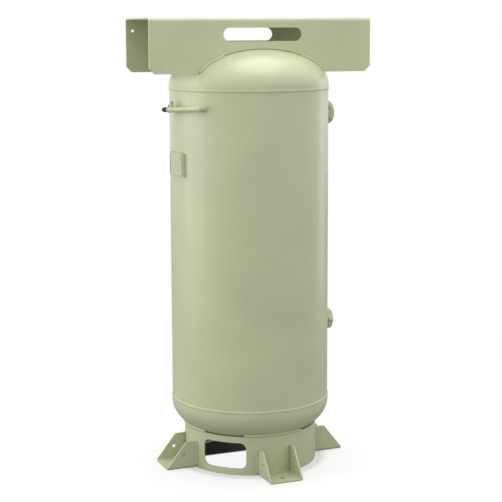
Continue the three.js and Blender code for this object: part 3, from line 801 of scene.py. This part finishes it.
def foot_welds(side, angle):
    """Beads up both gussets' outer corners against the ring, and along the base between them."""
    half = FOOT_WIDTH / 2
    corner = math.degrees(math.asin(half / RING_RADIUS))
    for number, way in enumerate((-1, 1)):
        turn = math.radians(angle + way * corner)
        foot_line = Vector((math.sin(turn), -math.cos(turn), 0)) * (RING_RADIUS + MM)
        foot_line += Vector((math.cos(turn), math.sin(turn), 0)) * way * 0.8 * MM
        start, top = up(7 * MM), up(FOOT_HEIGHT + 1.5 * MM)
        path = straight_path(foot_line + start, foot_line + top)
        name = f"foot_weld_{side}_{number + 1}"
        lay_weld(name, path, 3.8 * MM, seed=angle + number)
    inside = math.degrees(math.asin((half - FOOT_BEND) / RING_RADIUS))
    path = arc_path(RING_RADIUS + 1.2 * MM, FOOT_SHEET + 0.8 * MM, angle - inside, angle + inside)
    lay_weld("foot_weld_" + side + "_base", path, 3.2 * MM, seed=angle + 2)


# ---- the platform


def head_space():
    """The space over the top head that the flanges are cut back from."""
    gap = 2 * MM
    steps = 48
    radius, depth = TANK_RADIUS + HEAD_PROUD + gap, HEAD_DEPTH + gap
    base = TOP_SEAM_Z + HEAD_FLANGE
    turns = [math.pi / 2 * i / steps for i in range(steps)]
    dome = [(radius * math.cos(t), base + depth * math.sin(t)) for t in turns]
    profile = [(0, TOP_SEAM_Z), (radius, TOP_SEAM_Z)] + dome + [(0, base + depth)]
    return revolve("head_space", profile, 256)


def channel_platform():
    """The bent sheet: chamfered at its lower corners and cut back round the head, with its holes."""
    x, half = PLATFORM_HALF_LENGTH, PLATFORM_HALF_DEPTH
    bent = (PLATFORM_SHEET, PLATFORM_BEND, PLATFORM_LOW_Z, PLATFORM_TOP_Z)
    sheet = prism("channel_platform", channel_section(half, *bent, 10, 12), -x, x)
    # Local X is turned to Y, local Y to Z and local Z to X.
    along_x = Matrix(((0, 0, 1, 0), (1, 0, 0, 0), (0, 1, 0, 0), (0, 0, 0, 1)))
    moved(sheet, along_x)
    clear = PLATFORM_CHAMFER + MM
    right = [
        (x - clear, PLATFORM_LOW_Z - MM),
        (x + MM, PLATFORM_LOW_Z + clear),
        (x + MM, PLATFORM_TOP_Z + MM),
    ]
    outline = [(-u, v) for u, v in reversed(right)] + right
    boolean(sheet, "INTERSECT", moved(prism("outline", outline, -2 * half, 2 * half), facing(0)))
    cut(sheet, head_space())
    cut_platform_holes(sheet)
    settle_painted(soften(sheet, 0.9 * MM), "platform")


def round_ended(length, width, steps=8):
    return rounded_rectangle(length, width, width / 2 - 0.01 * MM, steps)


def cut_platform_holes(sheet):
    """The grip through both flanges, the guard's holes in the rear one, and the top's holes."""
    grip = prism("grip", round_ended(GRIP_LENGTH, GRIP_HEIGHT, 14), -1, 1)
    cut(sheet, moved(grip, facing(0, 0, GRIP_Z)))
    for end in (-1, 1):
        guard_hole = bar("guard_hole", GUARD_HOLE_RADIUS, 90 * MM, 150 * MM, 32)
        cut(sheet, moved(guard_hole, at(end * GUARD_HOLE_X, 0, GUARD_HOLE_Z) @ ALONG_Y))
        for way in (-1, 1):
            pump_hole = bar("pump_hole", PUMP_HOLE_RADIUS, -50 * MM, 50 * MM, 32)
            pump_x = end * PUMP_HOLES_X - MACHINE_X
            cut(sheet, moved(pump_hole, at(pump_x, way * HOLES_Y, PLATFORM_TOP_Z)))
            slot = prism("slot", round_ended(SLOT_LENGTH, SLOT_WIDTH), -50 * MM, 50 * MM)
            slot_x = end * SLOTS_X + MACHINE_X
            cut(sheet, moved(slot, at(slot_x, way * HOLES_Y, PLATFORM_TOP_Z)))


def platform_welds():
    """Beads along the flanges' curved cuts, at each end of the saddle."""
    run = SADDLE_WELD_TO - SADDLE_WELD_FROM
    steps = path_steps(run * 1.25)  # a bead slopes, so it is longer than its run
    number = 0
    for way_y in (-1, 1):
        for way_x in (-1, 1):
            y = way_y * (PLATFORM_HALF_DEPTH + 1.4 * MM)
            path = []
            for i in range(steps + 1):
                x = way_x * (SADDLE_WELD_FROM + run * i / steps)
                path.append(Vector((x, y, top_head_z(x, y) + 1.6 * MM)))
            number += 1
            name, outward = f"platform_weld_{number}", Vector((0, way_y, 0))
            lay_weld(name, path, 4.8 * MM, reference=outward, seed=number)


# ---- ports and plugs


def half_coupling(level):
    """A half coupling through the shell, with its faced end and a saddle weld."""
    node = level + "_port_coupling"
    z = middle(node).z
    back, face = low(node).x, COUPLING_FACE_X
    profile = bored_profile(COUPLING_BORE, COUPLING_RADIUS, back, face, 1.6 * MM)
    piece = moved(revolve(level + "_half_coupling", profile, 96), at(0, 0, z) @ ALONG_X)
    settle_painted(piece, node)
    path = saddle_path(facing(90, 0, z), COUPLING_RADIUS + 0.8 * MM)
    lay_weld(level + "_coupling_weld", path, 4.6 * MM, closed=True, seed=11)


def pipe_plug(level, point_up):
    """A hex head pipe plug with turned corners, a washer face and a plain shank in the coupling."""
    node = level + "_port_plug"
    z = middle(node).z
    start, end = COUPLING_FACE_X + PLUG_GAP, high(node).x
    head = hex_bar(level + "_pipe_plug", PLUG_ACROSS_FLATS, start + 1.2 * MM, end, point_up, True)
    soften(head, 0.7 * MM)
    shank = bar("shank", COUPLING_BORE - 0.4 * MM, low(node).x, start + 3 * MM, 72)
    washer = bar("washer", 30.5 * MM, start, start + 3 * MM, 72, 0.4 * MM)
    join_loose(head, shank, washer)
    settle_painted(moved(head, facing(90, 0, z)), node)


# ---- the manifold


def along_pipe(name, radius, start, end, edge=0.0):
    return moved(bar(name, radius, start, end, 48, edge), ALONG_X)


def manifold_pipe():
    pipe = along_pipe("pipe_run", PIPE_RADIUS, PIPE_FROM - 2 * MM, PIPE_TO + 2 * MM)
    settle_painted(moved(pipe, manifold_place()), "manifold_pipe")


def banded_collar(name, start, end):
    """A fitting's end: a body with a raised band at its mouth."""
    band_width = 6 * MM
    body = along_pipe(name, FITTING_RADIUS - 1.2 * MM, start, end, 0.6 * MM)
    band_start = end - band_width if abs(end) > abs(start) else start
    band = along_pipe("band", FITTING_RADIUS, band_start, band_start + band_width, 0.9 * MM)
    return join_solid(body, band)


def fitting_stub():
    """The stub by which a fitting is welded into the shell."""
    return bar("stub", STUB_RADIUS, -24 * MM, 0, 48)


def manifold_elbow():
    elbow = banded_collar("elbow_fitting", PIPE_TO - ELBOW_AT, 2 * MM)
    knuckle = revolve("knuckle", ball_profile(STUB_RADIUS + 0.6 * MM), 48)
    join_solid(elbow, fitting_stub(), knuckle)
    moved(soften(elbow, 1.1 * MM, 3), manifold_place(ELBOW_AT))
    settle_painted(elbow, "manifold_elbow")
    stub_weld("elbow_weld", ELBOW_AT)


def ball_profile(radius, steps=16):
    turns = [math.pi * i / steps - math.pi / 2 for i in range(steps + 1)]
    inner = [(radius * math.cos(t), radius * math.sin(t)) for t in turns[1:-1]]
    return [(0, -radius)] + inner + [(0, radius)]


def manifold_tee():
    tee = banded_collar("tee_fitting", TEE_FROM - TEE_AT, PIPE_FROM - TEE_AT)
    riser = moved(bar("riser", TOP_PORT_RADIUS, 0, TOP_PORT_HEIGHT, 48, 0.5 * MM), ALONG_Y)
    join_solid(tee, fitting_stub(), riser)
    moved(soften(tee, 1.0 * MM, 3), manifold_place(TEE_AT))
    settle_painted(tee, "manifold_tee")
    stub_weld("tee_weld", TEE_AT)


def stub_weld(name, along):
    path = saddle_path(manifold_place(along), STUB_RADIUS + 0.8 * MM)
    lay_weld(name, path, 2.6 * MM, closed=True, seed=17)


def fluted_bar(name, radius, depth, flutes, start, end):
    """A short grip with flutes along local Z, drawn in and domed at its outer end."""
    per_flute = 6
    sides = flutes * per_flute
    levels = [(start, 0.93), (start + MM, 1.0), (end - 2 * MM, 1.0)]
    levels += [(end - 0.7 * MM, 0.95), (end, 0.80)]
    points = []
    for z, share in levels:
        for i in range(sides):
            turn = 2 * math.pi * i / sides
            reach = (radius - depth * (0.5 + 0.5 * math.cos(turn * flutes))) * share
            points.append((reach * math.cos(turn), reach * math.sin(turn), z))
    return mesh_piece(name, points, tube_faces(len(levels), sides, closed=False))


def manifold_end_cap():
    """The black cap on the tee's open end."""
    cap = fluted_bar("end_cap", 7.5 * MM, 0.55 * MM, 18, 0, END_CAP_LENGTH)
    moved(cap, manifold_place(TEE_FROM - 0.2 * MM) @ turned("Y", -90))
    settle(cap, BLACK, "black_plastic", "manifold_end_cap")


def manifold_top_plug():
    """The painted hexagonal plug in the tee's upper port."""
    plug = hex_bar("top_plug", 11 * MM, TOP_PORT_HEIGHT + 0.4 * MM, TOP_PORT_HEIGHT + 6.3 * MM)
    neck = bar("neck", 4.6 * MM, TOP_PORT_HEIGHT - 6 * MM, TOP_PORT_HEIGHT + MM, 32)
    join_loose(soften(plug, 0.4 * MM), neck)
    settle_painted(moved(plug, manifold_place(TEE_AT) @ ALONG_Y), "manifold_top_plug")


def manifold_vent_plug():
    """The small black plug beside the painted one."""
    start, end = FITTING_RADIUS - 2 * MM, FITTING_RADIUS + 4 * MM
    vent = fluted_bar("vent_plug", 3.4 * MM, 0.3 * MM, 10, start, end)
    moved(vent, manifold_place(TEE_AT + VENT_OFFSET) @ ALONG_Y)
    settle(vent, BLACK, "black_plastic", "manifold_vent_plug")


# ---- the data plate


def plate_place():
    return facing(PLATE_ANGLE, 0, PLATE_Z)


def bent_bracket():
    """A sheet bent back at both sides, so that its face stands off the shell."""
    sheet, leg_end, face = BRACKET_SHEET, TANK_RADIUS - 7 * MM, BRACKET_BACK + BRACKET_SHEET
    section = channel_section(BRACKET_WIDTH / 2, sheet, 2 * sheet, leg_end, face, 6, 6)
    bracket = prism("bent_bracket", section, -BRACKET_HEIGHT / 2, BRACKET_HEIGHT / 2)
    moved(bracket, plate_place() @ turned("X"))
    settle_painted(soften(bracket, 0.35 * MM), "data_plate_bracket")


def bracket_welds():
    """A bead along each leg of the bracket."""
    reach = up(BRACKET_HEIGHT / 2 - 4 * MM)
    for number, way in enumerate((-1, 1)):
        turn = PLATE_ANGLE + way * math.degrees(math.asin((BRACKET_WIDTH / 2 + MM) / TANK_RADIUS))
        foot_line = facing(turn, TANK_RADIUS + 0.4 * MM, PLATE_Z).translation
        path = straight_path(foot_line - reach, foot_line + reach)
        name = f"bracket_weld_{number + 1}"
        lay_weld(name, path, 2.2 * MM, pitch=2.4 * MM, seed=20 + number)


def raised_bar(x, y, width, height, level, rise=1.1 * MM):
    """A blank embossed field on the plate, with rounded corners."""
    outline = rounded_rectangle(width, height, min(width, height) * 0.35, 4)
    block = prism("mark", [(x + u, y + v) for u, v in outline], level - 0.3 * MM, level + rise)
    return soften(block, 0.18 * MM)


def plate_border():
    """A raised frame that runs 4 to 6 mm in from the plate's edge."""
    frame_outline = rounded_rectangle(PLATE_WIDTH - 8 * MM, PLATE_HEIGHT - 8 * MM, 5 * MM)
    well_outline = rounded_rectangle(PLATE_WIDTH - 12 * MM, PLATE_HEIGHT - 12 * MM, 4 * MM)
    border = prism("border", frame_outline, PLATE_FACE - 0.3 * MM, PLATE_FACE + 1.3 * MM)
    well = prism("well", well_outline, PLATE_FACE - MM, PLATE_FACE + 2 * MM)
    return soften(cut(border, well), 0.3 * MM)


def plate_fields():
    """A title field over four rows, each with a short label and a longer field."""
    label_left, field_left = -34 * MM, -10 * MM
    fields = [raised_bar(0, 19 * MM, 58 * MM, 8 * MM, PLATE_FACE, 1.3 * MM)]
    lengths = random.Random(SEED)
    for row in range(4):
        y = (8.5 - 9 * row) * MM
        label = lengths.uniform(13, 19) * MM
        fields.append(raised_bar(label_left + label / 2, y, label, 3.0 * MM, PLATE_FACE))
        field = lengths.uniform(26, 42) * MM
        fields.append(raised_bar(field_left + field / 2, y, field, 4.6 * MM, PLATE_FACE))
    return fields


def embossed_plate():
    """The plate, with its raised border and blank embossed fields."""
    outline = rounded_rectangle(PLATE_WIDTH, PLATE_HEIGHT, 4 * MM)
    plate = prism("embossed_plate", outline, PLATE_FACE - PLATE_SHEET, PLATE_FACE)
    soften(plate, 0.3 * MM)
    join_loose(plate, plate_border(), *plate_fields())
    settle(moved(plate, plate_place()), PLATE_PAINT, "paint", "data_plate")


def plate_rivets():
    """A domed rivet in each corner of the plate."""
    dome = [(0, -2), (3.2, -2), (3.2, 0.7), (2.6, 1.5), (1.5, 2.0), (0, 2.2)]  # mm over the face
    profile = [(r * MM, PLATE_FACE + z * MM) for r, z in dome]
    for number in range(1, 5):
        node = f"data_plate_rivet_{number}"
        centre = plate_place().inverted() @ middle(node)
        head = revolve(f"domed_rivet_{number}", profile, 24)
        settle_painted(moved(head, plate_place() @ at(centre.x, centre.y, 0)), node)


# ---- the drain


def drain_boss():
    """The coupling welded into the lowest point of the lower head."""
    base, top = low("drain_coupling").z, high("drain_coupling").z
    radius = high("drain_coupling").x
    profile = bored_profile(DRAIN_BORE, radius, top, base, MM)
    settle_painted(revolve("drain_boss", profile, 64), "drain_coupling")
    weld_z = BOTTOM_SEAM_Z - HEAD_FLANGE - head_height(radius)
    path = arc_path(radius + MM, weld_z - MM, 0, 359)
    lay_weld("drain_weld", path, 3 * MM, closed=True, seed=31)


def on_the_key(piece):
    """Puts a piece, made round local Z, on the axis about which the cock's key turns."""
    return moved(piece, at(0, 0, DRAIN_KEY_Z) @ TO_THE_FRONT)


def cock_body():
    """The brass cock's body: a hexagon and shank, a cross barrel and a ridged hose nozzle."""
    z = DRAIN_KEY_Z
    base, top = low("drain_coupling").z, high("drain_coupling").z
    body = hex_bar("cock_body", 22 * MM, z + 9 * MM, base - 0.3 * MM, True, True)
    barrel = on_the_key(bar("barrel", 11 * MM, -12 * MM, 12 * MM, 64, 0.8 * MM))
    shank = bar("shank", 10 * MM, base - MM, top - 6 * MM, 48)
    bottom = low("drain_cock_body").z
    nozzle = [(0, bottom), (4.6 * MM, bottom)]
    for ridge in range(4):
        step = bottom + (1 + 3 * ridge) * MM
        nozzle += [(6 * MM, step + 1.4 * MM), (6 * MM, step + 1.8 * MM), (4.9 * MM, step + 2.6 * MM)]
    nozzle += [(4.9 * MM, z), (0, z)]
    join_solid(body, barrel, revolve("nozzle", nozzle, 40), shank)
    cut(body, on_the_key(bar("key_bore", 6.3 * MM, -20 * MM, 20 * MM, 64)))
    cut(body, bar("flow", 3.5 * MM, 0, 90 * MM, 32))
    settle(soften(body, 0.4 * MM), BRASS, "brass", "drain_cock_body")


def cock_key():
    """The turning plug with its passage, a flat lever at the front and a stud at the back."""
    key = bar("cock_key", 6 * MM, -15 * MM, 14 * MM, 48, 0.4 * MM)
    hub = bar("hub", 8 * MM, 12.5 * MM, 18 * MM, 48, 0.8 * MM)
    blade = prism("blade", rounded_rectangle(40 * MM, 9 * MM, 4.4 * MM), 14 * MM, 17.5 * MM)
    moved(blade, at(14 * MM, 0, 0))
    stud = bar("stud", 4 * MM, -22 * MM, -14 * MM, 32, 0.5 * MM)
    join_solid(key, hub, blade, stud)
    cut(key, moved(bar("passage", 3.3 * MM, -20 * MM, 20 * MM, 32), ALONG_X))
    on_the_key(soften(key, 0.5 * MM))
    settle(key, BRASS, "brass", "drain_cock_key", body="drain_key")


def cock_nut():
    """The nut that holds the key in its body."""
    nut = hex_bar("cock_nut", 13 * MM, -20.5 * MM, -15.3 * MM, True, True)
    cut(nut, bar("nut_bore", 4.2 * MM, -30 * MM, -10 * MM, 32))
    on_the_key(soften(nut, 0.35 * MM))
    settle(nut, BRASS, "brass", "drain_cock_nut", body="drain_key")


# ---- floor, light and camera


FLOOR_RADIUS = 9.0
FLOOR_DROP = 0.5 * MM  # so that the soles of the feet stand clear of it
PAINTED_LIGHT_TO = 40 * MM  # behind the tank's axis, where the painted pool of light on the floor ends
PAINTED_LIGHT_EDGE = 11 * MM
UNDER_FROM = 0.19  # from the axis, where the floor under the tank gives way to the open floor
UNDER_TO = 0.26
SURROUND_LIGHT = 1.03


def pale_floor():
    """A round pale floor whose far part fades into the white surround."""
    steps = 96
    circle = arc(0, 0, FLOOR_RADIUS, 0, 360 - 360 / steps, steps - 1)
    rim = [(x, y, -FLOOR_DROP) for x, y in circle]
    floor = mesh_piece("pale_floor", rim, [tuple(range(steps))])
    if floor.data.polygons[0].normal.z < 0:
        floor.data.flip_normals()
    floor.data.materials.append(floor_material())


def floor_material():
    """Pale and mottled to the camera, with a painted pool of light and a painted shadow under the tank,
    duller to the light it sends up, and clear from below.
    """
    material, nodes, shader, place = new_material("pale_floor")
    tone = nodes.remap(nodes.noise(place, 3.0, 4.0), 0.3, 0.7, 0.0, 1.0)
    color = nodes.mix(tone, (0.86, 0.86, 0.85, 1), (0.90, 0.90, 0.89, 1))
    shader.inputs["Roughness"].default_value = 0.7
    distance = nodes.add("ShaderNodeVectorMath", {"operation": "LENGTH"})
    nodes.put(distance.inputs[0], place)
    glow = nodes.add("ShaderNodeEmission", Color=(1, 1, 1, 1), Strength=1.0)
    reach = distance.outputs["Value"]
    near = nodes.remap(reach, UNDER_FROM, UNDER_TO, 0.0, 0.66)
    far = nodes.remap(reach, 0.32, 0.9, 0.0, 0.34)
    under = nodes.remap(reach, UNDER_FROM, UNDER_TO, 1.0, 0.0)
    fade = nodes.math("ADD", near, far)
    # Painted light: under the tank the floor glows, a painted pool of light, as far back as a line
    # behind the axis, and beyond it the floor is dark.
    back = nodes.add("ShaderNodeSeparateXYZ", Vector=place).outputs["Y"]
    painted_light_patch = nodes.remap(back, PAINTED_LIGHT_TO, PAINTED_LIGHT_TO + PAINTED_LIGHT_EDGE, 0.92, 0.0)
    fade = nodes.math("MAXIMUM", fade, nodes.math("MULTIPLY", painted_light_patch, under))
    # Painted shadow: the floor under the tank is given a dark grey colour.
    nodes.put(shader.inputs["Base Color"], nodes.mix(under, color, (0.24, 0.24, 0.22, 1)))
    shown = nodes.mix_shader(fade, shader.outputs["BSDF"], glow.outputs["Emission"])
    dull = nodes.add("ShaderNodeBsdfDiffuse", Color=(0.30, 0.30, 0.30, 1))
    seen = nodes.add("ShaderNodeLightPath").outputs["Is Camera Ray"]
    blend = nodes.mix_shader(seen, dull.outputs["BSDF"], shown)
    # From below, the floor isn't there, so the tank's underside can be looked at.
    below = nodes.add("ShaderNodeNewGeometry").outputs["Backfacing"]
    clear = nodes.add("ShaderNodeBsdfTransparent")
    surface = nodes.mix_shader(below, blend, clear.outputs["BSDF"])
    nodes.put(material.node_tree.nodes["Material Output"].inputs["Surface"], surface)
    return material


def surround():
    """White to the camera, and an even light from all round for everything else."""
    world = bpy.data.worlds.new("surround")
    world.use_nodes = True
    bpy.context.scene.world = world
    nodes = Nodes(world.node_tree)
    background = world.node_tree.nodes["Background"]
    seen = nodes.add("ShaderNodeLightPath").outputs["Is Camera Ray"]
    nodes.put(background.inputs["Color"], (1, 1, 1, 1))
    nodes.put(background.inputs["Strength"], nodes.remap(seen, 0.0, 1.0, SURROUND_LIGHT, 1.0))


def softbox(name, angle, distance, z, target_z, width, height, watts):
    """An area light at an angle from the front, aimed at a height on the tank's axis."""
    light = bpy.data.lights.new(name, "AREA")
    light.shape = "RECTANGLE"
    light.size = width
    light.size_y = height
    light.energy = watts
    lamp = bpy.data.objects.new(name, light)
    lamp.location = facing(angle, distance, z).translation
    lamp.rotation_mode = "QUATERNION"
    aim = up(target_z) - lamp.location
    lamp.rotation_quaternion = aim.to_track_quat("-Z", "Y")
    lamp.visible_camera = False
    bpy.context.scene.collection.objects.link(lamp)


def lights():
    softbox("overhead", 75, 0.3, z=3.3, target_z=1.2, width=2.2, height=1.3, watts=28)
    softbox("side_left", -106, 3.2, z=1.5, target_z=0.8, width=2.4, height=2.8, watts=42)
    softbox("side_right", 104, 2.7, z=1.2, target_z=0.8, width=0.9, height=2.8, watts=10)


CAMERA_PLACE = (-1.610, -4.022, 1.400)
CAMERA_YAW = 21.89  # degrees to the right of straight ahead
CAMERA_PITCH = 8.10  # degrees down
CAMERA_ROLL = 0.22
CAMERA_LENS = 96.9  # mm, on a 36 mm sensor
CAMERA_SHIFT = -0.06


def camera():
    data = bpy.data.cameras.new("camera")
    data.lens = CAMERA_LENS
    data.sensor_width = 36
    data.shift_y = CAMERA_SHIFT
    data.dof.use_dof = False
    viewer = bpy.data.objects.new("camera", data)
    yaw, pitch = math.radians(CAMERA_YAW), math.radians(CAMERA_PITCH)
    ahead = Vector((math.sin(yaw) * math.cos(pitch), math.cos(yaw) * math.cos(pitch), -math.sin(pitch)))
    viewer.location = CAMERA_PLACE
    viewer.rotation_mode = "QUATERNION"
    roll = Matrix.Rotation(math.radians(-CAMERA_ROLL), 4, "Z").to_quaternion()
    viewer.rotation_quaternion = ahead.to_track_quat("-Z", "Y") @ roll
    bpy.context.scene.collection.objects.link(viewer)
    bpy.context.scene.camera = viewer


# ---- the scene

rolled_shell()
dished_head("upper_head", "top_head", TOP_SEAM_Z, 1)
dished_head("lower_head", "bottom_head", BOTTOM_SEAM_Z, -1)
girth_bead("upper_girth_bead", "top_girth_weld", TOP_SEAM_Z + TOP_BEAD_RISE)
girth_bead("lower_girth_bead", "bottom_girth_weld", BOTTOM_SEAM_Z)
long_seam_bead()
skirt_ring()
skirt_seam_bead()
skirt_welds()
for side, angle in FOOT_ANGLES.items():
    bent_foot(side, angle)
    foot_welds(side, angle)
channel_platform()
platform_welds()
for level, point_up in (("upper", True), ("lower", False)):
    half_coupling(level)
    pipe_plug(level, point_up)
manifold_pipe()
manifold_elbow()
manifold_tee()
manifold_end_cap()
manifold_top_plug()
manifold_vent_plug()
bent_bracket()
bracket_welds()
embossed_plate()
plate_rivets()
drain_boss()
cock_body()
cock_key()
cock_nut()

pale_floor()
surround()
lights()
camera()
bpy.context.scene.view_settings.view_transform = "Standard"
bpy.context.scene.view_settings.look = "None"
